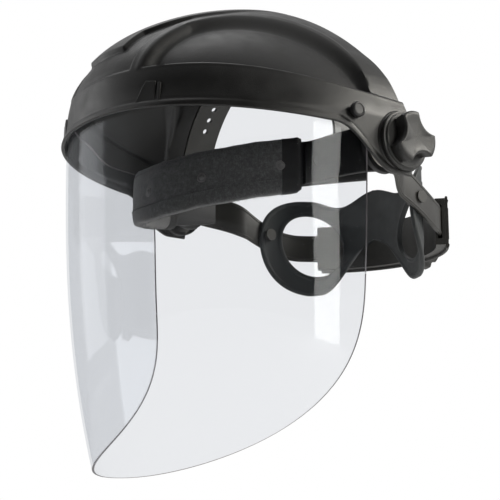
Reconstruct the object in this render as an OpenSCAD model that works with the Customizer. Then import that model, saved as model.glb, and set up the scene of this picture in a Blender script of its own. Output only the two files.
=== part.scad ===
// Face shield: tilting brow guard, clear visor and adjustable head harness.
// Origin on the tilt axis, midway between the side knobs. -Y is the front,
// +X is the wearer's left and +Z is up. Sizes are in millimetres.

/* [Brow guard] */
// half width at the rim
guard_w = 118; // [110:0.2:124]
// depth in front of the section centre
guard_d = 149.4; // [140:0.2:156]
// height from the rim plane to the crown
guard_h = 100.1; // [92:0.1:112]
// level of the rim plane
guard_z = 13; // [8:0.5:18]
// wall thickness
guard_wall = 2.4; // [1.8:0.1:3.5]
// depth of the two side hollows
hollow_depth = 6; // [0:0.5:9]
// how far the centre ridge stands up
crest_rise = 1.8; // [0:0.2:4]
// radius of the ears at the tilt axis
ear_r = 19; // [16:0.5:22]

/* [Visor] */
// sheet thickness
visor_wall = 1.4; // [1:0.1:2]
// lowest point of the sheet
visor_low = -195.5; // [-215:0.5:-170]
// half angle of the wrap, from the front
visor_wrap = 82; // [70:1:86]
// distance of the retaining buttons in front of the axis
button_y = -35.2; // [-42:0.2:-28]
// height of the retaining buttons above the axis
button_z = 13.1; // [9:0.1:18]

/* [Side joints] */
// shoulder radius of the pivot bolts
shoulder_r = 4; // [3:0.1:5]
// thread radius of the pivot bolts
thread_r = 3; // [2:0.1:4]
// flange radius of the side knobs
flange_r = 18; // [15:0.5:20]
// lobe radius of the knob grips
lobe_r = 16; // [13:0.5:18]
// running gap between turning faces
gap = 0.06; // [0.02:0.01:0.15]

/* [Head harness] */
// half width of the head loop
loop_w = 80; // [72:1:88]
// depth of the loop in front of its widest point
loop_d = 118; // [105:1:125]
// forward centre of the rear arc
arc_y = 40; // [34:1:50]
// width of the crown strap
crown_strap_w = 24; // [18:1:28]
// height of the rear straps
strap_h = 20; // [16:1:24]
// centre level of the ratchet
ratchet_z = -26; // [-32:1:-18]

/* [Hidden] */
guard_y = 7.3;        // section centre of the guard at its rim
guard_lean = 26.5;    // how far that centre moves forward towards the crown
arm_x = 100;          // inner face of the side arms
ear_x = 118.8;        // outer face of the guard's ears
tooth_m = 1;          // module of the ratchet teeth
pinion_n = 10;        // teeth on the pinion
pinion_r = pinion_n * tooth_m / 2;
rack_r = 81.2;        // mid radius of the rack arcs
rack_t = 2;           // thickness of the racks
tooth_step = 180 * tooth_m / rack_r;
charcoal = [0.16, 0.16, 0.165];
black = [0.07, 0.07, 0.075];
slate = [0.2, 0.22, 0.235];
steel = [0.62, 0.62, 0.63];
$fn = 48;

// ---- small helpers ----
function sgn(v) = v < 0 ? -1 : 1;
function clip(v) = min(1, max(0, v));
function ease(v) = let (c = clip(v)) c * c * (3 - 2 * c);
function mix(a, b, k) = a + (b - a) * k;
function unit(v) = v / norm(v);
// one point of a superellipse section, a degrees from the front
function section(a, w, d, n, y0) = [
    w * sgn(sin(a)) * pow(abs(sin(a)), 2 / n),
    y0 - d * sgn(cos(a)) * pow(abs(cos(a)), 2 / n)];

// mirrored to the wearer's right when s is -1
module sided(s) mirror([s < 0 ? 1 : 0, 0, 0]) children();
// a round bar along X
module bar_x(x0, x1, r, y = 0, z = 0)
    translate([x0, y, z]) rotate([0, 90, 0]) cylinder(h = x1 - x0, r = r);
// a flat shape drawn in Y-Z and thickened along X
module plate_x(x0, x1)
    translate([x0, 0, 0]) rotate([90, 0, 90]) linear_extrude(x1 - x0) children();
// an arc about a vertical axis at (0, y), centred on the back
module back_arc(y, half, r0, r1, z0, z1)
    translate([0, y, 0]) rotate([0, 0, 90 - half])
        rotate_extrude(angle = 2 * half, $fn = 120)
            translate([r0, z0]) square([r1 - r0, z1 - z0]);

// closed shell between two grids; tip = true means each grid's last row is one point
module skin(outer, inner, tip = false) {
    cols = len(outer[0]);
    rows = len(outer) - (tip ? 1 : 0);
    half = rows * cols + (tip ? 1 : 0);
    pts = concat([for (r = outer) each r], [for (r = inner) each r]);
    function id(i, j) = i * cols + j;
    faces = concat(
        [for (i = [0 : rows - 2], j = [0 : cols - 2]) each [
            [id(i, j), id(i + 1, j + 1), id(i, j + 1)], [id(i, j), id(i + 1, j), id(i + 1, j + 1)],
            [half + id(i, j), half + id(i, j + 1), half + id(i + 1, j + 1)],
            [half + id(i, j), half + id(i + 1, j + 1), half + id(i + 1, j)]]],
        [for (j = [0 : cols - 2]) each [
            [id(0, j), id(0, j + 1), half + id(0, j + 1)],
            [id(0, j), half + id(0, j + 1), half + id(0, j)]]],
        [for (i = [0 : rows - 2]) each [
            [id(i, 0), half + id(i, 0), half + id(i + 1, 0)], [id(i, 0), half + id(i + 1, 0), id(i + 1, 0)],
            [id(i, cols - 1), half + id(i + 1, cols - 1), half + id(i, cols - 1)],
            [id(i, cols - 1), id(i + 1, cols - 1), half + id(i + 1, cols - 1)]]],
        tip ? concat(
            [for (j = [0 : cols - 2]) each [
                [id(rows - 1, j), rows * cols, id(rows - 1, j + 1)],
                [half + id(rows - 1, j), half + id(rows - 1, j + 1), half + rows * cols]]],
            [[id(rows - 1, 0), half + id(rows - 1, 0), half + rows * cols],
             [id(rows - 1, 0), half + rows * cols, rows * cols],
             [id(rows - 1, cols - 1), half + rows * cols, half + id(rows - 1, cols - 1)],
             [id(rows - 1, cols - 1), rows * cols, half + rows * cols]])
        : [for (j = [0 : cols - 2]) each [
            [id(rows - 1, j), half + id(rows - 1, j + 1), id(rows - 1, j + 1)],
            [id(rows - 1, j), half + id(rows - 1, j), half + id(rows - 1, j + 1)]]]);
    polyhedron(points = pts, faces = faces, convexity = 8);
}

// ---- brow guard ----
function guard_t(z) = clip((z - guard_z) / guard_h);
// smooth outer form of the guard, moved in by an inset
function guard_form(a, z, inset = 0) =
    let (t = guard_t(z), lip = pow(clip((guard_z + 14 - z) / 14), 2),
         kw = pow(1 - pow(t, 1.544), 0.65), kd = 1 - pow(t, 2.664),
         p = section(a, (guard_w - inset) * kw + 0.6 * lip, (guard_d - inset) * kd + 3 * lip,
                     2.23 - 0.23 * t, guard_y - guard_lean * pow(t, 1.363)))
    [p[0], p[1], z - inset * t * t];
// lower edge of the guard: a shallow curve that drops to the ears
function rim_z(a) = let (b = abs(a))
    14.3 - 8.3 * pow(min(b, 70) / 70, 1.35) - 25.5 * pow(ease((b - 70) / 16), 1.4);
function guard_normal(a, z) =
    let (u = guard_form(min(a + 1, 90), z) - guard_form(max(a - 1, -90), z),
         v = guard_form(a, z + 1) - guard_form(a, z - 1))
    unit(cross(u, v));
// raised and sunk areas: side hollows, centre ridge and front panel
function relief(p) =
    let (x = abs(p[0]), y = p[1], z = p[2],
         corner = pow(max(x - 41, 0) / 64.6, 0.62) + pow(max(-y - 18, 0) / 90, 0.62) - 1,
         hollow = min(ease(corner / 0.25), ease((x - 41) / 7),
                      ease((z - 38.5 + 11 * pow(x / 113, 6)) / 4)),
         ridge = ease((20.5 + 20 * pow(clip((y + 118) / 45), 0.7) - x) / 3) * ease((z - 55.5) / 3),
         panel = ease((34 - x) / 3) * ease((z - 38) / 3) * ease((-38 - y) / 12))
    crest_rise * ridge * ease((-16 - y) / 75) - hollow_depth * hollow - 0.8 * panel * (1 - ridge);
function guard_point(a, z, inset) =
    guard_form(a, z, inset) + guard_normal(a, z) * relief(guard_form(a, z));
guard_cols = 60;
guard_lines = 24;
function guard_grid(inset) = concat(
    [for (i = [0 : guard_lines - 1]) let (u = i / guard_lines, s = 1 - pow(1 - u, 1.5))
        [for (j = [0 : guard_cols]) let (a = -90 + 180 * j / guard_cols)
            guard_point(a, mix(rim_z(a), guard_z + guard_h, s), inset)]],
    [[[0, guard_y - guard_lean, guard_z + guard_h - inset]]]);

module brow_guard() color(charcoal) difference() {
    union() {
        skin(guard_grid(0), guard_grid(guard_wall), true);
        for (s = [-1, 1]) sided(s) {
            bar_x(111.6, ear_x, ear_r);
            bar_x(arm_x + 6.2, 112, 12);
        }
    }
    for (s = [-1, 1]) sided(s) {
        bar_x(90, 130, shoulder_r + gap);
        bar_x(105, 130, 3.07, button_y, button_z);
        front_frame() clip_block(-4, 6) offset(delta = 0.05) clip_recess();
    }
}

// local frame of the front clips, X along the wall and -Y outwards
module front_frame()
    translate([48.2, -132.9, 21.8]) rotate([0, 0, 24.6]) rotate([-2, 0, 0]) children();
// a shape drawn in X-Z, thickened from y0 to y1
module clip_block(y0, y1) translate([0, y1, 0]) rotate([90, 0, 0]) linear_extrude(y1 - y0) children();
module clip_plate() polygon([[-9, -6], [4.5, -6], [4.5, 6], [-2, 7], [-4.6, 3.4]]);
module clip_recess() { clip_plate(); translate([4, -6]) square([5.6, 12]); }
module visor_clip(s) color(black) sided(s) front_frame() {
    clip_block(-0.7, 1.9) clip_plate();
    clip_block(-0.2, 1.9) translate([4, -6]) square([5.5, 1.6]);
    clip_block(-0.9, 1.9) translate([6.2, -6]) square([1.8, 10.8]);
}

// ---- visor ----
// lower edge of the sheet against the angle from the front
function visor_edge(a) = mix(-80, visor_low, pow(max(0, 1 - pow(a / visor_wrap, 2)), 0.34));
// below the guard the sheet hangs free; above, it follows the guard's inside
function visor_form(a, z, inset = 0) =
    let (t = clip((20 - z) / 235),
         k = ease((12 - z) / 42),
         free = section(a, 114 - 24.4 * pow(t, 2.2) - inset, 143.8 - 27.7 * pow(t, 2.6) - inset, 2.3, 3),
         held = guard_form(a * 0.975, max(z, guard_z), guard_wall + 0.7 + inset))
    [mix(held[0], free[0], k), mix(held[1], free[1], k), z];
// upper edge of the sheet: a little lower beside the wearer's temples
function visor_top(a) = 27 - 7 * ease((abs(a) - 46) / 18);
visor_cols = 60;
visor_lines = 22;
function visor_grid(inset) = [for (i = [0 : visor_lines]) [for (j = [0 : visor_cols])
    let (a = -visor_wrap + 2 * visor_wrap * j / visor_cols)
    visor_form(a, mix(visor_edge(a), visor_top(a), i / visor_lines), inset)]];
module visor() color([0.8, 0.88, 0.9, 0.35]) difference() {
    skin(visor_grid(0), visor_grid(visor_wall));
    for (s = [-1, 1]) sided(s) bar_x(100, 125, 3.6, button_y, button_z);
}
// push button that holds the sheet; its collar stops behind the sheet
module visor_button(s) color(black) sided(s) {
    bar_x(106.6, 117.1, 3, button_y, button_z);
    bar_x(106.6, 107.9, 4.4, button_y, button_z);
    bar_x(117, 119.4, 4.65, button_y, button_z);
    translate([119.4, button_y, button_z]) rotate([0, 90, 0]) cylinder(h = 0.8, r1 = 4.65, r2 = 3.9);
}

// ---- side joints ----
module pivot_bolt(s) color(steel) sided(s) {
    translate([arm_x - 3.6, 0, 0]) rotate([0, 90, 0]) cylinder(h = 3.6, r = 7, $fn = 6);
    bar_x(arm_x - 0.1, ear_x - 0.3, shoulder_r);
    bar_x(ear_x - 0.4, 127.6, thread_r);
}
module friction_washer(s) color([0.72, 0.7, 0.66]) sided(s) difference() {
    bar_x(arm_x + 4, arm_x + 6.1, 13);
    bar_x(90, 130, shoulder_r + 0.05);
}
module knob_insert(s) color([0.75, 0.6, 0.3]) sided(s) difference() {
    bar_x(ear_x + 0.5, 129, 5);
    bar_x(90, 128.2, thread_r + gap);
}
module knob(s) color(charcoal) sided(s) difference() {
    union() {
        bar_x(ear_x + 0.1, ear_x + 3, flange_r);
        bar_x(ear_x + 3, ear_x + 4.4, flange_r - 1.5);
        plate_x(ear_x + 4.4, 131.6) difference() {
            circle(lobe_r);
            for (k = [48, 168, 288]) rotate(k) translate([22.5, 0]) circle(13);
        }
    }
    bar_x(90, 129, 5);
    bar_x(ear_x, ear_x + 0.6, 7);
}
module side_arm(s) color(black) sided(s) difference() {
    union() {
        bar_x(arm_x, arm_x + 4, 16);
        skin([arm_row(0, 0), arm_row(0, 1)], [arm_row(3, 0), arm_row(3, 1)]);
    }
    bar_x(90, 130, shoulder_r + 0.02);
}
// the arm sweeps from the joint in to the side of the forehead band
function arm_row(inset, top) = [for (i = [0 : 14]) let (k = i / 14, a = mix(62, 84, k))
    [(loop_w + 4.2 - inset) * sin(a) + 20.3 * ease(k * 1.1), 20 - (loop_d + 4.2 - inset) * cos(a),
     mix(band_z(a), 0, ease(k)) + (top - 0.5) * mix(26, 30, k)]];

// ---- head harness ----
// centre level of the forehead band
function band_z(a) = -23 + 13 * pow(abs(a) / 60, 1.6);
function loop_row(out, a0, half_h, side) = [for (i = [0 : 36])
    let (a = mix(-a0, a0, i / 36))
    [(loop_w + out) * sin(a), 20 - (loop_d + out) * cos(a), band_z(a) + side * half_h]];
module forehead_band() color(black)
    skin([loop_row(1, 84, 14, -1), loop_row(1, 84, 14, 1)],
         [loop_row(-1, 84, 14, -1), loop_row(-1, 84, 14, 1)]);
module sweatband() color(slate) difference() {
    skin([loop_row(2.6, 61, 16.8, -1), loop_row(3.4, 61, 14, -1), loop_row(3.4, 61, 14, 1),
          loop_row(2.6, 61, 16.8, 1)],
         [loop_row(-5, 61, 16.8, -1), loop_row(-8, 61, 12, -1), loop_row(-8, 61, 12, 1),
          loop_row(-5, 61, 16.8, 1)]);
    skin([loop_row(1.1, 64, 14.2, -1), loop_row(1.1, 64, 14.2, 1)],
         [loop_row(-1.1, 64, 14.2, -1), loop_row(-1.1, 64, 14.2, 1)]);
}
module sweatband_studs() color(black) for (a = [-54, -27, 0, 27, 54])
    translate([(loop_w + 3.2) * sin(a), 20 - (loop_d + 3.2) * cos(a), band_z(a)])
        rotate([90, 0, atan2((loop_d) * sin(a), (loop_w) * cos(a))]) {
            translate([0, 0, -1.8]) cylinder(h = 2.4, r = 1.4);
            translate([0, 0, 0.2]) cylinder(h = 1.2, r = 2.6);
        }

// rivets that hold the side arms to the ends of the forehead band
module band_rivets() color(steel) for (s = [-1, 1]) sided(s)
    translate([(loop_w + 2) * sin(66), 20 - (loop_d + 2) * cos(66), band_z(66)])
        rotate([90, 0, atan2(loop_d * sin(66), loop_w * cos(66))]) {
            translate([0, 0, -4]) cylinder(h = 7.4, r = 2);
            translate([0, 0, 2.2]) cylinder(h = 1.6, r = 3.6);
            translate([0, 0, -4.4]) cylinder(h = 1.2, r = 3.6);
        }

// crown strap: two arcs that lap over the top of the head
crown_y = -8;
crown_z = 6;
crown_r = 80.4;
module crown_arc(a0, a1, r0)
    translate([0, crown_y + crown_strap_w / 2, crown_z]) rotate([90, 0, 0]) rotate([0, 0, a0])
        rotate_extrude(angle = a1 - a0, $fn = 120)
            translate([r0, 0]) square([2, crown_strap_w]);
module crown_hole(a, r)
    translate([0, crown_y, crown_z]) rotate([0, 90 - a, 0]) cylinder(h = 120, r = r);
// tab from the strap's end down to the side arm
module crown_tab()
    translate([crown_r, crown_y - crown_strap_w / 2, -9]) cube([2, crown_strap_w, crown_z + 9]);
module crown_strap_left() color(black) difference() {
    union() { crown_arc(0, 106, crown_r); crown_tab(); }
    for (i = [0 : 4]) crown_hole(76 + 6 * i, 1.9);
}
module crown_strap_right() color(black) difference() {
    sided(-1) { crown_arc(0, 108, crown_r + 2.1); translate([2.1, 0, 0]) crown_tab(); }
    for (i = [0 : 11]) crown_hole(82 + 6 * i, 1.9);
}
module crown_pegs() color(black) for (i = [1, 3])
    translate([0, crown_y, crown_z]) rotate([0, 14 - 6 * i, 0]) translate([0, 0, crown_r - 1.6]) {
        cylinder(h = 7, r = 1.8);
        cylinder(h = 1.5, r = 3.4);
        translate([0, 0, 5.9]) cylinder(h = 1.4, r = 3);
    }

// rivets that hold the crown strap's ends to the forehead band
module crown_rivets() color(steel) for (s = [-1, 1]) sided(s) {
    bar_x(76.8, crown_r + (s < 0 ? 4.4 : 2.3), 2, crown_y, -1);
    bar_x(crown_r + (s < 0 ? 4.1 : 2), crown_r + (s < 0 ? 5.5 : 3.4), 3.6, crown_y, -1);
    bar_x(75.6, 77, 3.6, crown_y, -1);
}

// rear strap from the joint round to the ratchet housing
function strap_level(y) = ratchet_z * ease((y - 4) / 78);
function strap_path(k, inset) = k < 0.5
    ? let (y = mix(9, arc_y, k * 2)) [mix(arm_x - 0.1, 82.2, ease((y - 9) / (arc_y - 9))) - inset, y]
    : let (b = mix(90, 44, k * 2 - 1)) [(82.2 - inset) * sin(b), arc_y + (82.2 - inset) * cos(b)];
function strap_row(inset, side) = [for (i = [30 : -1 : 0])
    let (p = strap_path(i / 30, inset)) [p[0], p[1], strap_level(p[1]) + side * strap_h / 2]];
module rear_strap(s) color(black) sided(s) difference() {
    skin([strap_row(0, -1), strap_row(0, 1)], [strap_row(2, -1), strap_row(2, 1)]);
    bar_x(80, 110, 2.05, 12.4, -2);
}
module strap_rivet(s) color(steel) sided(s) {
    bar_x(arm_x - 3, arm_x + 0.1, 2, 12.4, -2);
    bar_x(arm_x - 4.2, arm_x - 2.6, 3.4, 12.4, -2);
}

// ---- ratchet ----
module ratchet_housing() color(black) difference() {
    union() {
        back_arc(arc_y, 50, 78.4, 85, ratchet_z - 16, ratchet_z + 16);
        translate([0, arc_y + 83, ratchet_z]) rotate([-90, 0, 0]) cylinder(h = 7.6, r = 17);
    }
    back_arc(arc_y, 54, 79.9, 82.8, ratchet_z - 11.5, ratchet_z + 11.5);
    translate([0, arc_y + 80, ratchet_z]) rotate([-90, 0, 0]) cylinder(h = 14, r = 4.56);
    translate([0, arc_y + 79.8, ratchet_z]) rotate([-90, 0, 0]) cylinder(h = 4, r = 6.6);
    translate([0, arc_y + 86.8, ratchet_z]) rotate([-90, 0, 0]) cylinder(h = 8, r = 13.2);
}
module ratchet_cover() color(black) difference() {
    back_arc(arc_y, 48, 85.1, 86.9, ratchet_z - 18, ratchet_z + 18);
    translate([0, arc_y + 80, ratchet_z]) rotate([-90, 0, 0]) cylinder(h = 14, r = 17.2);
}
module ratchet_detent() color(steel) translate([0, arc_y + 87, ratchet_z]) rotate([-90, 0, 0])
    linear_extrude(1.6) difference() {
        circle(13);
        circle(11.4);
        for (i = [0 : 23]) rotate(15 * i) translate([11.6, 0]) circle(0.8, $fn = 12);
    }
module ratchet_knob() color(black) translate([0, arc_y, ratchet_z]) rotate([-90, 0, 0])
    translate([0, 0, 91]) {
        linear_extrude(11) difference() {
            circle(20);
            for (i = [0 : 11]) rotate(30 * i) translate([22.5, 0]) circle(4.2, $fn = 24);
        }
        translate([0, 0, 11]) cylinder(h = 1.6, r1 = 17, r2 = 15.4);
    }
// short teeth with clearance, so the pinion runs freely in both racks
module tooth(half_root, half_tip, h)
    polygon([[-half_root, 0], [half_root, 0], [half_tip, h], [-half_tip, h]]);
module ratchet_pinion() color(steel) translate([0, arc_y, ratchet_z]) rotate([-90, 0, 0]) {
    translate([0, 0, 80]) linear_extrude(2.7) {
        circle(pinion_r - tooth_m);
        for (i = [0 : pinion_n - 1]) rotate(360 / pinion_n * i)
            translate([0, pinion_r - tooth_m - 0.2]) tooth(1, 0.34, 1.85);
    }
    translate([0, 0, 82.7]) cylinder(h = 8.3, r = 4.5);
}
// one rack: a toothed bar past the pinion and a wide tail inside the strap's sleeve
module rack(s) color([0.12, 0.12, 0.125]) translate([0, arc_y, ratchet_z]) rotate([0, 0, 90])
    rotate([s < 0 ? 180 : 0, 0, 0]) {
        rotate([0, 0, -34.5]) rotate_extrude(angle = 45.5, $fn = 120)
            translate([rack_r - rack_t / 2, pinion_r + 1.2]) square([rack_t, 4.8]);
        rotate([0, 0, -34.5]) rotate_extrude(angle = 7, $fn = 120)
            translate([rack_r - rack_t / 2, -11]) square([rack_t, pinion_r + 12.2]);
        for (i = [-5 : 4]) rotate([0, 0, (i + 0.5) * tooth_step])
            translate([rack_r - rack_t / 2 + 0.3, 0, pinion_r + 1.4]) rotate([-90, 0, -90])
                linear_extrude(rack_t - 0.6) tooth(0.95, 0.36, 2.0);
    }

// ---- nape pad ----
pad_y = 46;
pad_w = 76;
pad_d = 44;
pad_t = 3.4;
function pad_point(b, z, out) = [(pad_w + out) * sin(b), pad_y + (pad_d + out) * cos(b), z];
// one wing, drawn flat as [angle round the nape, height]: a leaning oval finger hole, and round it
// an edge that is a wider oval outside and meets the middle of the back, at angle 0, inside
hole_mid = [44, -27];
hole_half = [22, 22.5];
hole_lean = 6;
edge_mid = [46, -28.5];
edge_half = [41, 36];
edge_lean = 7;
pad_top = edge_mid[1] + edge_half[1];
pad_dip = 7.6;
arch_top = -28.5;
arch_end = 38;
function oval(mid, half, lean, t) = [mid[0] + half[0] * cos(t), mid[1] + half[1] * sin(t) + lean * cos(t)];
function top_edge(b) = pad_top - pad_dip * (1 - cos(360 * b / edge_mid[0])) / 2;
function low_edge(b) = mix(arch_top, edge_mid[1] - edge_half[1], (1 - cos(180 * min(1, b / arch_end))) / 2);
function wing_edge(t) =
    t <= 90 || t >= 270 ? oval(edge_mid, edge_half, edge_lean, t)
    : t < 135 ? let (b = edge_mid[0] * (135 - t) / 45) [b, top_edge(b)]
    : t < 215 ? [0, mix(pad_top, arch_top, (t - 135) / 80)]
    : let (b = edge_mid[0] * (t - 215) / 55) [b, low_edge(b)];
function wing_point(t, k, out) =
    let (p = mix(oval(hole_mid, hole_half, hole_lean, t), wing_edge(t), k)) pad_point(p[0], p[1], out);
module pad_wing() {
    n = 72;
    m = 8;
    pts = [for (i = [0 : n - 1]) let (t = i * 360 / n)
        each concat([for (k = [0 : 3]) wing_point(t, k / 3, 0)],
                    [for (k = [3 : -1 : 0]) wing_point(t, k / 3, pad_t)])];
    polyhedron(points = pts, convexity = 6, faces = [for (i = [0 : n - 1], c = [0 : m - 1])
        let (a = m * i, b = m * ((i + 1) % n), d = (c + 1) % m)
        each [[a + c, b + c, b + d], [a + c, b + d, a + d]]]);
}
module nape_pad() color(slate) union() for (s = [-1, 1]) sided(s) pad_wing();
// posts that tie the pad's ends to the rear straps
module nape_posts() color(black) for (s = [-1, 1]) sided(s) {
    bar_x(73, 82.6, 2.6, 54.5, -18);
    bar_x(71.1, 73.6, 4.4, 54.5, -18);
    bar_x(81, 82.8, 4, 54.5, -18);
}

brow_guard();
visor();
visor_clip(1);  // visor_clip_left
visor_clip(-1);  // visor_clip_right
visor_button(1);  // visor_button_left
visor_button(-1);  // visor_button_right
knob(1);  // knob_left
knob(-1);  // knob_right
knob_insert(1);  // knob_insert_left
knob_insert(-1);  // knob_insert_right
pivot_bolt(1);  // pivot_bolt_left
pivot_bolt(-1);  // pivot_bolt_right
friction_washer(1);  // friction_washer_left
friction_washer(-1);  // friction_washer_right
side_arm(1);  // side_arm_left
side_arm(-1);  // side_arm_right
forehead_band();
sweatband();
sweatband_studs();
crown_strap_left();
crown_strap_right();
crown_pegs();
crown_rivets();
rear_strap(1);  // rear_strap_left
rear_strap(-1);  // rear_strap_right
strap_rivet(1);  // strap_rivet_left
strap_rivet(-1);  // strap_rivet_right
band_rivets();
ratchet_housing();
ratchet_cover();
ratchet_detent();
ratchet_knob();
ratchet_pinion();
rack(1);  // rack_left
rack(-1);  // rack_right
nape_pad();
nape_posts();
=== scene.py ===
"""Face shield: the looks of every piece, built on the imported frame. Metres, -Y is the front."""

import math

import bmesh
import bpy
import numpy as np
from mathutils import Matrix, Vector


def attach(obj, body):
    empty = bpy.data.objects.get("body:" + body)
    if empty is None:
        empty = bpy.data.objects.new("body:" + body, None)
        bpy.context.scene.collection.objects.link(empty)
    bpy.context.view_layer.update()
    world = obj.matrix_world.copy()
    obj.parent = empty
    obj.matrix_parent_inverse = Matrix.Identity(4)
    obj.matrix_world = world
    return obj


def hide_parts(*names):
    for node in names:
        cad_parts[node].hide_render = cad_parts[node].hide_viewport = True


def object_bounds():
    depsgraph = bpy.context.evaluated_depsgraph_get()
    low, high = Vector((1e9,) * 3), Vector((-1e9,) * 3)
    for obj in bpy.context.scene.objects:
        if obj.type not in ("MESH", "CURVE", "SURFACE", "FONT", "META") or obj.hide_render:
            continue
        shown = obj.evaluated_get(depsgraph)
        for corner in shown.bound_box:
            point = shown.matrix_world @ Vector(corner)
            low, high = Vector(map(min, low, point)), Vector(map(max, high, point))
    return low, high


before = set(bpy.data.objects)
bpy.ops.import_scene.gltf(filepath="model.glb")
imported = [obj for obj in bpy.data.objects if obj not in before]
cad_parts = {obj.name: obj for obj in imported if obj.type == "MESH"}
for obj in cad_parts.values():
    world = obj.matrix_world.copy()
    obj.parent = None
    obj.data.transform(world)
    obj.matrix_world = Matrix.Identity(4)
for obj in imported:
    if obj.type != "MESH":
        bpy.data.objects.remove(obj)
cad_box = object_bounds()
MM = 0.001
scene = bpy.context.scene

# ---------------------------------------------------------------- maths helpers


def clip(v):
    return np.clip(v, 0.0, 1.0)


def ease(v):
    c = clip(v)
    return c * c * (3 - 2 * c)


def mix(a, b, k):
    return a + (b - a) * k


def section(a, w, d, n, y0):
    """A superellipse section: a in radians from the front, half width w, depth d, squareness n."""
    s, c = np.sin(a), np.cos(a)
    x = w * np.sign(s) * np.abs(s) ** (2 / n)
    y = y0 - d * np.sign(c) * np.abs(c) ** (2 / n)
    return x, y


# ---------------------------------------------------------------- materials


class Nodes:
    """A small builder for one material's node tree."""

    def __init__(self, name):
        self.mat = bpy.data.materials.new(name)
        self.mat.use_nodes = True
        self.tree = self.mat.node_tree
        self.bsdf = self.tree.nodes["Principled BSDF"]
        self.out = self.tree.nodes["Material Output"]
        self.coord = self.new("ShaderNodeTexCoord").outputs["Object"]

    def new(self, kind, **values):
        node = self.tree.nodes.new(kind)
        for key, value in values.items():
            if hasattr(node, key):
                setattr(node, key, value)
            else:
                node.inputs[key.replace("_", " ")].default_value = value
        return node

    def link(self, a, b):
        self.tree.links.new(a, b)

    def noise(self, scale, detail=3.0, rough=0.55, vector=None):
        node = self.new("ShaderNodeTexNoise")
        node.inputs["Scale"].default_value = scale
        node.inputs["Detail"].default_value = detail
        node.inputs["Roughness"].default_value = rough
        self.link(vector or self.coord, node.inputs["Vector"])
        return node.outputs["Fac"]

    def voronoi(self, scale, vector=None):
        node = self.new("ShaderNodeTexVoronoi")
        node.inputs["Scale"].default_value = scale
        self.link(vector or self.coord, node.inputs["Vector"])
        return node.outputs["Distance"]

    def stretch(self, x, y, z):
        node = self.new("ShaderNodeMapping")
        node.inputs["Scale"].default_value = (x, y, z)
        self.link(self.coord, node.inputs["Vector"])
        return node.outputs["Vector"]

    def remap(self, value, lo, hi, to_lo, to_hi):
        node = self.new("ShaderNodeMapRange")
        for i, v in enumerate((lo, hi, to_lo, to_hi), start=1):
            node.inputs[i].default_value = v
        self.link(value, node.inputs[0])
        return node.outputs[0]

    def ramp(self, value, stops):
        node = self.new("ShaderNodeValToRGB")
        first, last = node.color_ramp.elements[0], node.color_ramp.elements[-1]
        for element, (place, colour) in zip((first, last), (stops[0], stops[-1])):
            element.position = place
            element.color = (*colour, 1)
        for place, colour in stops[1:-1]:
            node.color_ramp.elements.new(place).color = (*colour, 1)
        self.link(value, node.inputs[0])
        return node.outputs[0]

    def maths(self, kind, a, b):
        node = self.new("ShaderNodeMath", operation=kind)
        for i, v in enumerate((a, b)):
            if isinstance(v, (int, float)):
                node.inputs[i].default_value = v
            else:
                self.link(v, node.inputs[i])
        return node.outputs[0]

    def bump(self, height, strength, distance, normal=None):
        node = self.new("ShaderNodeBump")
        node.inputs["Strength"].default_value = strength
        node.inputs["Distance"].default_value = distance
        self.link(height, node.inputs["Height"])
        if normal:
            self.link(normal, node.inputs["Normal"])
        return node.outputs["Normal"]

    def set(self, **values):
        for key, value in values.items():
            self.bsdf.inputs[key.replace("_", " ")].default_value = value

    def use(self, socket, value):
        self.link(value, self.bsdf.inputs[socket])


def shade(colour, k):
    return tuple(min(1.0, c * k) for c in colour)


def moulded(name, colour, rough=0.5, grain=2600.0, depth=0.35, wear=0.0):
    """Injection-moulded plastic: eroded grain, faint flow marks and rubbed edges."""
    m = Nodes(name)
    flow = m.noise(38.0, 4.0)
    tone = m.ramp(flow, [(0.3, shade(colour, 0.84)), (0.52, colour), (0.74, shade(colour, 1.2))])
    if wear:
        edge = m.new("ShaderNodeNewGeometry").outputs["Pointiness"]
        rub = m.maths("MULTIPLY", m.remap(edge, 0.52, 0.6, 0.0, wear), m.noise(260.0, 2.0))
        blend = m.new("ShaderNodeMix", data_type="RGBA")
        m.link(rub, blend.inputs[0])
        m.link(tone, blend.inputs[6])
        blend.inputs[7].default_value = (*shade(colour, 3.4), 1)
        tone = blend.outputs[2]
    m.use("Base Color", tone)
    m.use("Roughness", m.remap(m.noise(90.0, 5.0), 0.3, 0.7, rough - 0.05, rough + 0.08))
    cells = m.bump(m.voronoi(grain), depth, 0.00012)
    m.use("Normal", m.bump(m.noise(grain * 0.4, 4.0), depth * 0.6, 0.00016, cells))
    m.set(Specular_IOR_Level=0.5, IOR=1.5)
    return m.mat


def soft_rubber(name, colour, rough=0.7):
    m = Nodes(name)
    m.use("Base Color", m.ramp(m.noise(60.0, 4.0), [(0.35, shade(colour, 0.85)), (0.7, shade(colour, 1.18))]))
    m.use("Roughness", m.remap(m.noise(140.0, 4.0), 0.3, 0.7, rough - 0.08, rough + 0.06))
    m.use("Normal", m.bump(m.noise(1500.0, 3.0), 0.3, 0.00015))
    m.set(Specular_IOR_Level=0.4, Sheen_Weight=0.08, Sheen_Roughness=0.5)
    return m.mat


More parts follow.
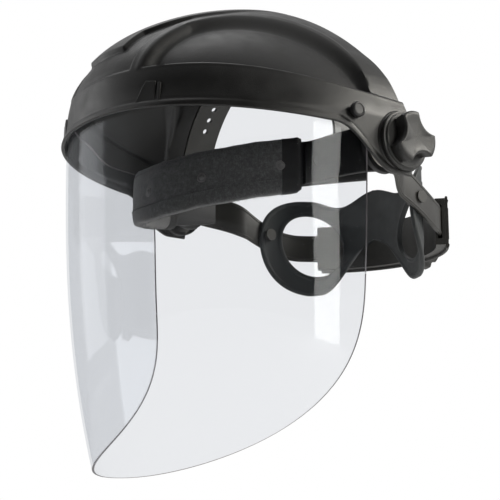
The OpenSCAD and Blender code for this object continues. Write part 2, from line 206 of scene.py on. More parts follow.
def felt(name, colour):
    """Needled felt: short fibres that run every way, faint lint and a soft edge sheen."""
    m = Nodes(name)
    wide = m.noise(1.0, 5.0, 0.7, m.stretch(700, 700, 1700))
    cross = m.noise(1.0, 4.0, 0.7, m.stretch(1800, 1500, 500))
    fibres = m.maths("ADD", wide, cross)
    lint = m.noise(420.0, 6.0, 0.75)
    tone = m.ramp(m.maths("MULTIPLY", fibres, lint),
                  [(0.32, shade(colour, 0.6)), (0.5, colour), (0.72, shade(colour, 1.9))])
    m.use("Base Color", tone)
    m.use("Roughness", m.remap(lint, 0.3, 0.7, 0.88, 1.0))
    base = m.bump(m.noise(170.0, 3.0), 0.35, 0.0006)
    m.use("Normal", m.bump(fibres, 0.8, 0.0003, base))
    m.set(Specular_IOR_Level=0.2, Sheen_Weight=0.35, Sheen_Roughness=0.6)
    return m.mat


def metal(name, colour, rough, lines=(9000, 300, 300)):
    m = Nodes(name)
    scratch = m.noise(1.0, 3.0, 0.6, m.stretch(*lines))
    m.use("Base Color", m.ramp(m.noise(300.0, 3.0), [(0.3, shade(colour, 0.88)), (0.7, shade(colour, 1.06))]))
    m.use("Roughness", m.remap(scratch, 0.3, 0.7, rough - 0.08, rough + 0.12))
    m.use("Normal", m.bump(scratch, 0.12, 0.00005))
    m.set(Metallic=1.0)
    return m.mat


MOST_GLOSS = 0.075


def clear_sheet(name, tint, gloss, rough):
    """Clear polycarbonate: an even faint tint and a thin gloss that grows at a glance, up to a limit."""
    m = Nodes(name)
    m.set(Base_Color=(*tint, 1), Transmission_Weight=1.0, IOR=1.3, Alpha=0.3, Roughness=0.03)
    through = m.new("ShaderNodeBsdfTransparent")
    through.inputs["Color"].default_value = (*tint, 1)
    shine = m.new("ShaderNodeBsdfGlossy")
    shine.inputs["Color"].default_value = (0.96, 0.98, 1.0, 1)
    m.link(m.remap(m.noise(55.0, 3.0), 0.35, 0.7, rough, rough + 0.025), shine.inputs["Roughness"])
    m.link(m.bump(m.noise(16.0, 2.0), 0.05, 0.0006), shine.inputs["Normal"])
    edge = m.new("ShaderNodeFresnel")
    edge.inputs["IOR"].default_value = 1.45
    both = m.new("ShaderNodeMixShader")
    m.link(m.maths("MINIMUM", m.maths("MULTIPLY", edge.outputs[0], gloss), MOST_GLOSS), both.inputs[0])
    m.link(through.outputs[0], both.inputs[1])
    m.link(shine.outputs[0], both.inputs[2])
    keep = m.new("ShaderNodeMixShader")
    keep.inputs[0].default_value = 0.03
    m.link(both.outputs[0], keep.inputs[1])
    m.link(m.bsdf.outputs[0], keep.inputs[2])
    m.link(keep.outputs[0], m.out.inputs["Surface"])
    return m.mat


GUARD = moulded("guard_grain", (0.0105, 0.0104, 0.0102), 0.38, 2300.0, 0.4, 0.35)
KNOB = moulded("knob_grain", (0.014, 0.014, 0.0135), 0.42, 2300.0, 0.4, 0.5)
BLACK = moulded("black_satin", (0.007, 0.007, 0.0075), 0.42, 3200.0, 0.2, 0.2)
STRAP = moulded("strap_satin", (0.026, 0.0252, 0.0232), 0.38, 2000.0, 0.25, 0.15)
HOUSING = moulded("housing_grain", (0.027, 0.0265, 0.0252), 0.44, 2400.0, 0.3, 0.2)
SLATE = soft_rubber("slate_rubber", (0.024, 0.0275, 0.0295), 0.56)
FELT = felt("charcoal_felt", (0.056, 0.056, 0.056))
BINDING = soft_rubber("band_end_black", (0.007, 0.007, 0.0075), 0.75)
THREAD = soft_rubber("seam_thread", (0.075, 0.075, 0.075), 0.6)
STUD = moulded("stud_grey", (0.1, 0.097, 0.095), 0.35, 2600.0, 0.15, 0.2)
STEEL = metal("zinc_steel", (0.62, 0.62, 0.63), 0.34)
BRASS = metal("turned_brass", (0.72, 0.52, 0.24), 0.3)
ACETAL = moulded("pale_acetal", (0.6, 0.58, 0.54), 0.4, 2600.0, 0.15)
SHEET = clear_sheet("clear_polycarbonate", (0.908, 0.915, 0.927), 0.36, 0.02)
SHEET_EDGE = moulded("polished_sheet_edge", (0.27, 0.245, 0.25), 0.18, 900.0, 0.1)

# ---------------------------------------------------------------- mesh helpers


def piece(name, verts, faces, material, body, replaced=(), smooth=40.0, more=()):
    """A mesh in millimetres becomes a piece that rides on a body."""
    mesh = bpy.data.meshes.new(name)
    mesh.from_pydata((np.asarray(verts, float) * MM).tolist(), [], faces)
    mesh.validate()
    shell = bmesh.new()
    shell.from_mesh(mesh)
    bmesh.ops.recalc_face_normals(shell, faces=shell.faces)
    shell.to_mesh(mesh)
    shell.free()
    obj = bpy.data.objects.new(name, mesh)
    scene.collection.objects.link(obj)
    for m in (material, *more):
        mesh.materials.append(m)
    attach(obj, body)
    if replaced:
        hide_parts(*replaced)
    if smooth:
        bpy.context.view_layer.objects.active = obj
        obj.select_set(True)
        bpy.ops.object.shade_smooth_by_angle(angle=math.radians(smooth))
        obj.select_set(False)
    return obj


class Solid:
    """Gathers grids of points into one mesh."""

    def __init__(self):
        self.verts = []
        self.faces = []

    def grid(self, pts, wrap_u=False, wrap_v=False, flip=False):
        """pts is rows x columns x 3; wrap_u joins the last column to the first."""
        pts = np.asarray(pts, float)
        rows, cols = pts.shape[:2]
        base = len(self.verts)
        self.verts.extend(pts.reshape(-1, 3).tolist())
        for i in range(rows if wrap_v else rows - 1):
            for j in range(cols if wrap_u else cols - 1):
                a, b = base + i * cols + j, base + i * cols + (j + 1) % cols
                c, d = base + ((i + 1) % rows) * cols + (j + 1) % cols, base + ((i + 1) % rows) * cols + j
                self.faces.append((a, d, c, b) if flip else (a, b, c, d))
        return base

    def cap(self, ring, flip=False):
        base = len(self.verts)
        self.verts.extend(np.asarray(ring, float).tolist())
        ids = list(range(base, base + len(ring)))
        self.faces.append(tuple(ids[::-1] if flip else ids))

    def mirror(self):
        """The same solid on the wearer's right as well."""
        n = len(self.verts)
        self.verts += [(-x, y, z) for x, y, z in self.verts]
        self.faces += [tuple(n + i for i in f[::-1]) for f in self.faces]
        return self

    def flip_side(self):
        self.verts = [(-x, y, z) for x, y, z in self.verts]
        self.faces = [f[::-1] for f in self.faces]
        return self


def merged(name, solid, material, body, replaced, smooth=40.0):
    """One gathered solid becomes one piece."""
    return piece(name, solid.verts, solid.faces, material, body, replaced, smooth)


def sided(name, side, part, material, body, replaced, smooth=40.0):
    """A solid drawn on the wearer's left becomes a piece there, or on the right when side is -1."""
    return merged(name, part if side > 0 else part.flip_side(), material, body, [replaced], smooth)


def loft(rings, solid=None, ends=True):
    """Closed rings, each M x 3, joined one to the next."""
    solid = solid or Solid()
    rings = np.asarray(rings, float)
    solid.grid(rings, wrap_u=True, flip=True)
    if ends:
        solid.cap(rings[0], flip=False)
        solid.cap(rings[-1], flip=True)
    return solid


def turned(profile, centre, axis, solid=None, steps=96, ends=True, lobe=None):
    """A turned shape: profile of (along, radius); lobe(angle, radius) may change the radius."""
    axis = Vector(axis).normalized()
    side = axis.orthogonal().normalized() if abs(axis.x) < 0.9 else Vector((0, 1, 0))
    other = axis.cross(side)
    t = np.linspace(0, 2 * np.pi, steps, endpoint=False)
    rings = []
    for along, r in profile:
        rr = lobe(t, r) if lobe else r + 0 * t
        rings.append(np.array(centre) + np.outer(along + 0 * t, axis)
                     + np.outer(rr * np.cos(t), side) + np.outer(rr * np.sin(t), other))
    return loft(rings, solid, ends)


def rounded_box(w, h, r, steps=5):
    """Outline of a rounded rectangle, w by h, centred."""
    pts = []
    for cx, cy, a0 in ((w / 2 - r, h / 2 - r, 0), (-w / 2 + r, h / 2 - r, 90),
                       (-w / 2 + r, -h / 2 + r, 180), (w / 2 - r, -h / 2 + r, 270)):
        for k in range(steps + 1):
            a = math.radians(a0 + 90 * k / steps)
            pts.append((cx + r * math.cos(a), cy + r * math.sin(a)))
    return np.array(pts)


def strap(path, thick, height, level, r=0.7, solid=None, outward=1.0):
    """A flat strap on edge along a path of (x, y); level and height may vary along it."""
    path = np.asarray(path, float)
    tangent = np.gradient(path, axis=0)
    tangent /= np.linalg.norm(tangent, axis=1)[:, None]
    normal = np.stack([tangent[:, 1], -tangent[:, 0]], -1) * outward
    height = height + 0 * path[:, 0]
    rings = []
    for p, n, h, z in zip(path, normal, height, level):
        box = rounded_box(thick, h, min(r, thick / 2.05))
        rings.append(np.stack([p[0] + n[0] * box[:, 0], p[1] + n[1] * box[:, 0], z + box[:, 1]], -1))
    return loft(rings, solid)


ORIGIN, ACROSS = (0, 0, 0), (1, 0, 0)

# ---------------------------------------------------------------- brow guard

GUARD_W, GUARD_D, GUARD_H, GUARD_Z = 118.0, 149.4, 100.1, 13.0
GUARD_Y, GUARD_LEAN, WALL = 7.3, 26.5, 2.4


def guard_form(a, z, inset=0.0):
    t = clip((z - GUARD_Z) / GUARD_H)
    lip = clip((GUARD_Z + 14 - z) / 14) ** 2
    kw = (1 - t ** 1.544) ** 0.65
    kd = 1 - t ** 2.664
    x, y = section(a, (GUARD_W - inset) * kw + 0.6 * lip, (GUARD_D - inset) * kd + 3 * lip,
                   2.23 - 0.23 * t, GUARD_Y - GUARD_LEAN * t ** 1.363)
    return np.stack([x, y, z - inset * t * t + 0 * x], -1)


def rim_z(a):
    b = np.abs(np.degrees(a))
    return 14.3 - 8.3 * (np.minimum(b, 70) / 70) ** 1.35 - 25.5 * ease((b - 70) / 16) ** 1.4


def guard_normal(a, z):
    half = np.pi / 2
    step = np.radians(0.6)
    u = guard_form(np.minimum(a + step, half), z) - guard_form(np.maximum(a - step, -half), z)
    v = guard_form(a, z + 0.6) - guard_form(a, z - 0.6)
    n = np.cross(u, v)
    length = np.linalg.norm(n, axis=-1, keepdims=True)
    return np.where(length > 1e-9, n / np.maximum(length, 1e-9), [0, 0, 1.0])


def relief(p, a):
    """How far the outer face stands out from the smooth form."""
    x, y, z = np.abs(p[..., 0]), p[..., 1], p[..., 2]
    corner = (np.maximum(x - 41, 0) / 64.6) ** 0.62 + (np.maximum(-y - 18, 0) / 90) ** 0.62 - 1
    low = 38.5 - 11 * (x / 113) ** 6
    inside = np.minimum.reduce([corner / 0.2, (x - 41) / 6.0, (z - low) / 3.4])
    hollow = mix(clip(inside), ease(inside), 0.55)
    bead = ease(1 - np.abs(inside + 0.35) / 0.5) * 0.5 * ease((z - low + 2) / 3)
    ridge = (ease((20.5 + 20 * clip((y + 118) / 45) ** 0.7 - x) / 2.0) * ease((z - 55.5) / 2.2))
    panel = ease((34 - x) / 1.6) * ease((z - 38) / 1.6) * ease((-38 - y) / 12)
    step = 1.8 * ridge * ease((-16 - y) / 75) - 0.9 * panel * (1 - ridge)
    above_rim = z - rim_z(a)
    lip = 0.45 * ease((3.4 - above_rim) / 0.8) - 0.3 * ease(1 - np.abs(above_rim - 4.1) / 0.8)
    return step - 6.0 * hollow + bead + lip


def guard_mesh():
    cols, rows = 420, 170
    a = np.linspace(-np.pi / 2, np.pi / 2, cols + 1)[None, :]
    u = np.linspace(0, 0.9985, rows + 1)[:, None]
    # rows crowd towards the crown, where the form turns fastest
    z = mix(rim_z(a), GUARD_Z + GUARD_H, 1 - (1 - u) ** 1.5) + 0 * a
    a = a + 0 * z
    rise = relief(guard_form(a, z), a)
    normal = guard_normal(a, z)
    outer = guard_form(a, z) + normal * rise[..., None]
    inner = guard_form(a, z, WALL) + normal * np.minimum(rise, 1.8)[..., None]
    solid = Solid()
    solid.grid(outer)
    solid.grid(inner, flip=True)
    # rounded edges: rim, rear arch and crown
    down, back = np.array([0, 0, -0.55]), np.array([0, 0.55, 0.1])
    for o, i, out, way in ((outer[0], inner[0], down, True), (outer[:, 0], inner[:, 0], back, False),
                           (outer[:, -1], inner[:, -1], back, True), (outer[-1], inner[-1], back, False)):
        strips = [mix(i, o, 0.5 - 0.5 * math.cos(k * math.pi / 6)) + out * math.sin(k * math.pi / 6)
                  for k in range(7)]
        solid.grid(np.array(strips), flip=way)
    return solid


def ears(solid):
    """Adds the boss round each pivot, outside and inside."""
    for s in (1, -1):
        part = Solid()
        turned([(111.7, 18.2), (112.2, 18.9), (117.4, 19.0), (118.3, 18.75), (118.75, 18.1), (118.8, 4.3),
                (118.2, 4.06), (106.4, 4.06)], ORIGIN, ACROSS, part, 120, False)
        turned([(112.0, 12.0), (106.8, 12.0), (106.25, 11.6), (106.2, 4.06)], ORIGIN, ACROSS, part, 96, False)
        if s < 0:
            part.flip_side()
        base = len(solid.verts)
        solid.verts += part.verts
        solid.faces += [tuple(base + i for i in f) for f in part.faces]
    return solid


merged("brow_guard_shell", ears(guard_mesh()), GUARD, "guard", ["brow_guard"], 48)

# ---------------------------------------------------------------- visor

VISOR_WALL, VISOR_LOW = 1.4, -195.5
WRAP = math.radians(82)


def visor_edge(a):
    return mix(-80.0, VISOR_LOW, np.maximum(0, 1 - (a / WRAP) ** 2) ** 0.34)


def visor_top(a):
    return 27 - 7 * ease((np.abs(np.degrees(a)) - 46) / 18)


def visor_form(a, z, inset=0.0):
    t = clip((20 - z) / 235)
    k = ease((12 - z) / 42)
    fx, fy = section(a, 114 - 24.4 * t ** 2.2 - inset, 143.8 - 27.7 * t ** 2.6 - inset, 2.3, 3.0)
    held = guard_form(a * 0.975, np.maximum(z, GUARD_Z), WALL + 0.7 + inset)
    return np.stack([mix(held[..., 0], fx, k), mix(held[..., 1], fy, k), z + 0 * fx], -1)


def visor_mesh():
    cols, rows = 360, 190
    # columns crowd towards the rear edges, where the lower edge sweeps up
    s = np.linspace(-1, 1, cols + 1)[None, :]
    a = WRAP * np.sign(s) * (1 - (1 - np.abs(s)) ** 1.5)
    v = np.linspace(0, 1, rows + 1)[:, None]
    z = mix(visor_edge(a), visor_top(a), v ** 1.15) + 0 * a
    a = a + 0 * z
    outer, inner = visor_form(a, z), visor_form(a, z, VISOR_WALL)
    skin, rim = Solid(), Solid()
    skin.grid(outer)
    skin.grid(inner, flip=True)
    edges = ((outer[0], inner[0], outer[3] + inner[3], True), (outer[-1], inner[-1], None, False),
             (outer[:, 0], inner[:, 0], outer[:, 3] + inner[:, 3], False),
             (outer[:, -1], inner[:, -1], outer[:, -4] + inner[:, -4], True))
    for o, i, next_in, way in edges:
        away = 0 * o if next_in is None else (o + i - next_in) / 2
        away = away / np.maximum(np.linalg.norm(away, axis=-1, keepdims=True), 1e-6)
        strips = [mix(i, o, 0.5 - 0.5 * math.cos(k * math.pi / 6)) + 0.3 * math.sin(k * math.pi / 6) * away
                  for k in range(7)]
        rim.grid(np.array(strips), flip=way)
    faces = skin.faces + [tuple(len(skin.verts) + i for i in f) for f in rim.faces]
    obj = piece("visor_sheet", skin.verts + rim.verts, faces, SHEET, "guard", ["visor"],
                smooth=60, more=(SHEET_EDGE,))
    for face in obj.data.polygons[len(skin.faces):]:
        face.material_index = 1
    return obj


visor_mesh()


def pressed_plate(outline, y0, y1, chamfer, place, solid):
    """A flat plate from an X-Z outline; its outer edge (towards y0) is chamfered."""
    pts = np.array(outline, float)
    middle = pts.mean(axis=0)
    ahead, behind = np.roll(pts, -1, 0) - pts, pts - np.roll(pts, 1, 0)
    ahead /= np.linalg.norm(ahead, axis=1)[:, None]
    behind /= np.linalg.norm(behind, axis=1)[:, None]
    n = np.stack([-(ahead + behind)[:, 1], (ahead + behind)[:, 0]], -1)
    n /= np.linalg.norm(n, axis=1)[:, None]
    n *= np.sign(np.sum(n * (middle - pts), axis=1))[:, None]
    rings = []
    for y, inset in ((y1, 0.0), (y0 + chamfer, 0.0), (y0 + 0.3 * chamfer, 0.35 * chamfer), (y0, 1.1 * chamfer)):
        q = pts + n * inset
        rings.append(np.array([tuple(place @ Vector((x, y, z))) for x, z in q]))
    return loft(rings, solid)


def front_clip(name, s, replaced):
    place = (Matrix.Translation((48.2, -132.9, 21.8)) @ Matrix.Rotation(math.radians(24.6), 4, "Z")
             @ Matrix.Rotation(math.radians(-2), 4, "X"))
    part = Solid()
    pressed_plate([(-9, -6), (4.5, -6), (4.5, 6), (-2, 7), (-4.6, 3.4)], -1.0, 1.9, 0.55, place, part)
    pressed_plate([(4, -6), (9.5, -6), (9.5, -4.4), (4, -4.4)], -0.4, 1.9, 0.3, place, part)
    pressed_plate([(6.2, -6), (8, -6), (8, 4.8), (6.2, 4.8)], -1.0, 1.9, 0.35, place, part)
    sided(name, s, part, GUARD, "guard", replaced, 30)


front_clip("sheet_clip_left", 1, "visor_clip_left")
front_clip("sheet_clip_right", -1, "visor_clip_right")


def button(name, s, replaced, body):
    y, z = -35.2, 13.1
    part = turned([(106.6, 3.0), (106.6, 4.2), (106.8, 4.4), (107.8, 4.4), (107.9, 3.0), (117.0, 3.0),
                   (117.02, 4.45), (117.3, 4.65), (119.2, 4.65), (119.75, 4.45), (120.1, 3.9),
                   (120.18, 3.3), (119.8, 2.9), (119.75, 0.4)], (0, y, z), ACROSS, None, 64)
    sided(name, s, part, BLACK, body, replaced)


button("button_cap_left", 1, "visor_button_left", "button_left")
button("button_cap_right", -1, "visor_button_right", "button_right")

# ---------------------------------------------------------------- side knobs

LOBE_R = 16.0
SCOOPS = np.radians([48.0, 168.0, 288.0])


def grip(t, r):
    """Three lobes with hollow scoops between them, blended softly at the tips."""
    out = r + 0 * t
    for c in SCOOPS:
        d = (t - c + np.pi) % (2 * np.pi) - np.pi
        inside = np.maximum(13.0 ** 2 - (22.5 * np.sin(d)) ** 2, 0)
        wall = np.where(np.abs(d) < 0.61, 22.5 * np.cos(d) - np.sqrt(inside), 99.0)
        wall = wall * r / LOBE_R
        h = clip(0.5 + 0.5 * (wall - out) / 1.6)
        out = mix(wall, out, h) - 1.6 * h * (1 - h)
    return out


def side_knob(name, s, body, replaced):
    part = turned([(118.92, 8.0), (118.92, 17.3), (119.15, 17.8), (119.6, 18.0), (121.3, 18.0), (121.75, 17.8),
                   (121.95, 17.2), (122.0, 16.7), (122.9, 16.55), (123.2, 16.3), (123.25, 15.6), (123.25, 7.0)],
                  ORIGIN, ACROSS, None, 160, False)
    turned([(122.8, 14.6), (124.3, 14.9), (126.5, 15.4), (129.2, 15.9), (130.4, 15.85), (131.0, 15.5),
            (131.4, 14.9), (131.58, 14.1), (131.6, 13.2), (131.45, 12.0), (131.2, 9.5), (131.05, 6.0), (131.0, 0.3)],
           ORIGIN, ACROSS, part, 288, True, grip)
    sided(name, s, part, KNOB, body, replaced, 44)


side_knob("side_knob_grip_left", 1, "side_knob_left", "knob_left")
side_knob("side_knob_grip_right", -1, "side_knob_right", "knob_right")

# ---------------------------------------------------------------- head harness

LOOP_W, LOOP_D, LOOP_Y = 80.0, 118.0, 20.0
ARM_X, ARC_Y, RATCHET_Z = 100.0, 40.0, -26.0
REAR_R, REAR_T = 82.2, 2.0
STUD_ANGLES = (-54, -27, 0, 27, 54)


def band_z(a):
    return -23 + 13 * (np.abs(np.degrees(a)) / 60) ** 1.6


def loop(a, out):
    return np.stack([(LOOP_W + out) * np.sin(a), LOOP_Y - (LOOP_D + out) * np.cos(a)], -1)


def side_arm(name, s, replaced):
    k = np.linspace(0, 1, 60)
    a = np.radians(mix(62, 84, k))
    path = loop(a, 2.7) + np.stack([20.3 * ease(k * 1.1), 0 * k], -1)
    part = strap(path, 3.0, mix(26, 30, k), mix(band_z(a), 0, ease(k)), 0.9)
    turned([(99.98, 4.05), (99.98, 15.0), (100.2, 15.7), (100.9, 16.0), (103.1, 16.0), (103.8, 15.7),
            (104.0, 15.0), (104.0, 4.05)], ORIGIN, ACROSS, part, 96, False)
    sided(name, s, part, BLACK, "harness", replaced)


side_arm("harness_arm_left", 1, "side_arm_left")
side_arm("harness_arm_right", -1, "side_arm_right")


def forehead():
    a = np.radians(np.linspace(-84, 84, 140))
    merged("forehead_frame", strap(loop(a, 0), 2.0, 28.0, band_z(a), 0.8), BLACK, "harness",
           ["forehead_band"])


forehead()


def sweatband_ring(a, grow=0.0):
    """Closed outline of the padded band at angle a, as offsets outward and up."""
    t = np.linspace(0, 2 * np.pi, 72, endpoint=False)
    c, s = np.cos(t), np.sin(t)
    across = np.where(c > 0, 3.5 + grow, 7.6 + grow) * np.sign(c) * np.abs(c) ** 0.62
    up = (16.9 + grow) * np.sign(s) * np.abs(s) ** 0.62
    deg = math.degrees(a)
    # the pad is drawn in at each stud, and wanders a little along its length
    pinch = sum(math.exp(-((deg - q) / 3.2) ** 2) for q in STUD_ANGLES)
    soft = 0.16 * np.sin(deg * 0.13 + 1.6 * s) + 0.05 * np.sin(deg * 0.41 + 1.0 - 3 * s)
    across += np.sign(c) * np.abs(c) ** 1.5 * (soft - 0.7 * pinch * np.exp(-(up / 6) ** 2) * (c > 0))
    # the folded lower flap lies over the outside and stops at a stitched edge
    flap = ease((-7.4 - up) / 0.5) * (c > 0)
    across += 0.3 * flap * clip(c * 2)
    base = np.array([(LOOP_W + across) * math.sin(a), LOOP_Y - (LOOP_D + across) * math.cos(a)]).T
    edge = 0.2 * np.sin(deg * 0.31) + 0.1 * np.sin(deg * 0.83 + 1)
    return np.column_stack([base, float(band_z(a)) + up + edge * np.abs(s) ** 3])


def sweatband():
    span = np.radians(np.linspace(-55.2, 55.2, 260))
    body = merged("sweatband_felt", loft([sweatband_ring(a) for a in span]), FELT, "harness",
                  ["sweatband"], 50)
    ends = Solid()
    for s in (1, -1):
        span = np.radians(np.linspace(54.6, 61.0, 24))
        rings = [sweatband_ring(a * s, 0.25 - 1.3 * ease((math.degrees(a) - 59.6) / 1.4)) for a in span]
        loft(rings if s > 0 else rings[::-1], ends)
    binding = merged("sweatband_binding", ends, BINDING, "harness", [], 50)
    # running stitches along the flap's edge and near the top fold
    threads = Solid()
    for level, skip in ((-8.7, 0.0), (13.3, 0.4)):
        for k in range(-62, 63):
            a0 = math.radians((k + skip) * 0.86)
            pts = []
            for f in (-0.5, -0.3, 0, 0.3, 0.5):
                a = a0 + math.radians(0.56 * f)
                lift = 3.5 + 0.2 * (level < 0) + 0.12 * math.cos(f * math.pi) - (0.75 if level > 0 else 0)
                pts.append((*(loop(a, lift)), float(band_z(a)) + level))
            pts = np.array(pts)
            t = np.linspace(0, 2 * np.pi, 6, endpoint=False)
            rings = [p + np.column_stack([0.26 * r * np.cos(t) * math.sin(a0), -0.26 * r * np.cos(t) * math.cos(a0),
                                          0.26 * r * np.sin(t)]) for p, r in zip(pts, (0.4, 1, 1, 1, 0.4))]
            loft(rings, threads)
    merged("sweatband_stitches", threads, THREAD, "harness", [], 60)
    # loose fibres stand out of the felt along both folded edges
    rng = np.random.default_rng(7)
    fuzz = Solid()
    for _ in range(1500):
        a, up = math.radians(rng.uniform(-55, 55)), rng.choice((-1, 1))
        t = rng.uniform(-0.9, 0.9)
        root = np.array((*loop(a, -2.0 + 4.0 * t), float(band_z(a)) + up * (16.6 - 1.3 * t * t)))
        along = np.array((LOOP_W * math.cos(a), LOOP_D * math.sin(a), 0)) / 100
        tip = root + along * rng.normal(0, 0.8) + np.array((0, 0, up * rng.uniform(0.4, 1.5)))
        tip[:2] += np.array((math.sin(a), -math.cos(a))) * rng.normal(0.2, 0.6)
        q = np.array([[math.cos(k), math.sin(k), 0] for k in (0, 2.1, 4.2)])
        loft([root + 0.07 * q, (root + tip) / 2 + along * rng.normal(0, 0.15) + 0.055 * q, tip + 0.015 * q], fuzz)
    merged("sweatband_fuzz", fuzz, FELT, "harness", [], 0)


sweatband()


def studs():
    part = Solid()
    for deg in STUD_ANGLES:
        a = math.radians(deg)
        centre = (*loop(a, 2.3), float(band_z(a)))
        out = np.array([LOOP_D * math.sin(a), -LOOP_W * math.cos(a), 0])
        turned([(-0.4, 3.1), (0.5, 3.1), (0.95, 2.9), (1.15, 2.3), (1.0, 1.9), (1.25, 1.5), (1.45, 0.7), (1.5, 0.1)],
               centre, out, part, 40)
    merged("stud_caps", part, STUD, "harness", ["sweatband_studs"])


studs()


def rear_path(k):
    """The left rear strap's middle line: inwards from the arm, then round the nape."""
    k = np.asarray(k)
    y = mix(9, ARC_Y, k * 2)
    b = np.radians(mix(90, 44, k * 2 - 1))
    r = REAR_R - REAR_T / 2
    first = np.stack([mix(ARM_X - 0.1, REAR_R, ease((y - 9) / (ARC_Y - 9))) - REAR_T / 2, y], -1)
    second = np.stack([r * np.sin(b), ARC_Y + r * np.cos(b)], -1)
    return np.where((k < 0.5)[:, None], first, second)


def strap_level(y):
    return RATCHET_Z * ease((y - 4) / 78)


def rear_strap(name, s, replaced):
    k = np.linspace(0, 1, 120)
    path = rear_path(k)
    tall = mix(24.0, 20.0, ease((k - 0.35) / 0.3))
    part = strap(path, REAR_T, tall, strap_level(path[:, 1]), 0.7)
    # a raised bead along each edge
    for side in (-1, 1):
        strap(path[4:-6], 2.7, 1.5, strap_level(path[4:-6, 1]) + side * (tall[4:-6] / 2 - 2.0), 0.5, part)
    sided(name, s, part, STRAP, "harness", replaced)


rear_strap("nape_strap_left", 1, "rear_strap_left")
rear_strap("nape_strap_right", -1, "rear_strap_right")


def domed(x0, x1, r, y, z, part, steps=40):
    """A low domed head from x0 out to x1."""
    d = x1 - x0
    turned([(x0, r * 0.98), (x0 + 0.35 * d, r), (x0 + 0.62 * d, r * 0.93), (x0 + 0.85 * d, r * 0.74),
            (x0 + 0.97 * d, r * 0.42), (x1, r * 0.05)], (0, y, z), ACROSS, part, steps)


def rivets(name, s, replaced):
    part = Solid()
    turned([(97.0, 2.0), (100.1, 2.0)], (0, 12.4, -2), ACROSS, part, 32)
    domed(97.4, 95.8, 3.4, 12.4, -2, part)
    sided(name, s, part, STEEL, "harness", replaced)


rivets("strap_rivet_head_left", 1, "strap_rivet_left")
rivets("strap_rivet_head_right", -1, "strap_rivet_right")

# ---------------------------------------------------------------- nape pad

PAD_Y, PAD_W, PAD_D, PAD_T = 46.0, 76.0, 44.0, 3.4
# one wing as (angle round the nape, height): a leaning oval finger hole, and round it an edge that is
# a wider oval outside and meets the middle of the back, at angle 0, inside
HOLE_MID, HOLE_HALF, HOLE_LEAN = (44.0, -27.0), (22.0, 22.5), 6.0
EDGE_MID, EDGE_HALF, EDGE_LEAN = (46.0, -28.5), (41.0, 36.0), 7.0
PAD_TOP, PAD_DIP = EDGE_MID[1] + EDGE_HALF[1], 7.6
ARCH_TOP, ARCH_END = -28.5, 38.0


def oval(mid, half, lean, t):
    t = np.radians(t)
    return np.stack([mid[0] + half[0] * np.cos(t), mid[1] + half[1] * np.sin(t) + lean * np.cos(t)], -1)


def wing_edge(t):
    wide = EDGE_MID[0]
    above = wide * (135 - t) / 45
    below = wide * (t - 215) / 55
    top = PAD_TOP - PAD_DIP * (1 - np.cos(2 * np.pi * above / wide)) / 2
    low = mix(ARCH_TOP, EDGE_MID[1] - EDGE_HALF[1], (1 - np.cos(np.pi * np.minimum(1, below / ARCH_END))) / 2)
    middle = mix(PAD_TOP, ARCH_TOP, (t - 135) / 80)
    outside = (t <= 90) | (t >= 270)
    oval_b, oval_z = oval(EDGE_MID, EDGE_HALF, EDGE_LEAN, t).T
    parts = [outside, t < 135, t < 215]
    return np.stack([np.select(parts, [oval_b, above, 0 * t], below),
                     np.select(parts, [oval_z, top, middle], low)], -1)


def on_pad(b, z, out):
    b = np.radians(b)
    return np.stack([(PAD_W + out) * np.sin(b), PAD_Y + (PAD_D + out) * np.cos(b), z + 0 * b], -1)


def pad_mesh():
    t = np.linspace(0, 360, 288, endpoint=False)
    hole, edge = oval(HOLE_MID, HOLE_HALF, HOLE_LEAN, t), wing_edge(t)
    width = np.linalg.norm(on_pad(*hole.T, 0) - on_pad(*edge.T, 0), axis=1)
    joined = edge[:, 0] < 0.01
    # across the rim: rounded over at both edges, with a shallow sunk panel between
    near = np.array([0, 0.12, 0.4, 0.8, 1.25, 1.7, 2.4, 2.8, 3.2, 3.6])
    fill = np.linspace(0, 1, 9)[1:-1]
    rings = []
    for h, e, w, j in zip(hole, edge, width, joined):
        r = min(1.0, w / 9.5)
        d = np.concatenate([near * r, mix(3.6 * r, w - 3.6 * r, fill), w - near[::-1] * r])
        k = (d / w)[:, None]
        from_hole = d / (1.7 * r)
        from_edge = np.full_like(d, 9.0) if j else (w - d) / (1.7 * r)
        reach = clip(np.minimum(from_hole, from_edge))
        full = np.sqrt(1 - (1 - reach) ** 2)
        sunk = 0.5 * ease((np.minimum(from_hole, from_edge) - 1.45) / 0.6)
        flat = mix(h, e, k)
        inner = on_pad(flat[:, 0], flat[:, 1], PAD_T / 2 - PAD_T / 2 * full + sunk)
        outer = on_pad(flat[:, 0], flat[:, 1], PAD_T / 2 + PAD_T / 2 * full - sunk)
        rings.append(np.vstack([inner, outer[::-1]]))
    solid = Solid()
    solid.grid(np.array(rings), wrap_u=True, wrap_v=True)
    return solid.mirror()


merged("nape_butterfly", pad_mesh(), SLATE, "harness", ["nape_pad"], 50)

# ---------------------------------------------------------------- ratchet


FLUTES = 12


def arc_path(r, half, n=90):
    b = np.radians(np.linspace(half, -half, n))
    return np.stack([r * np.sin(b), ARC_Y + r * np.cos(b)], -1)


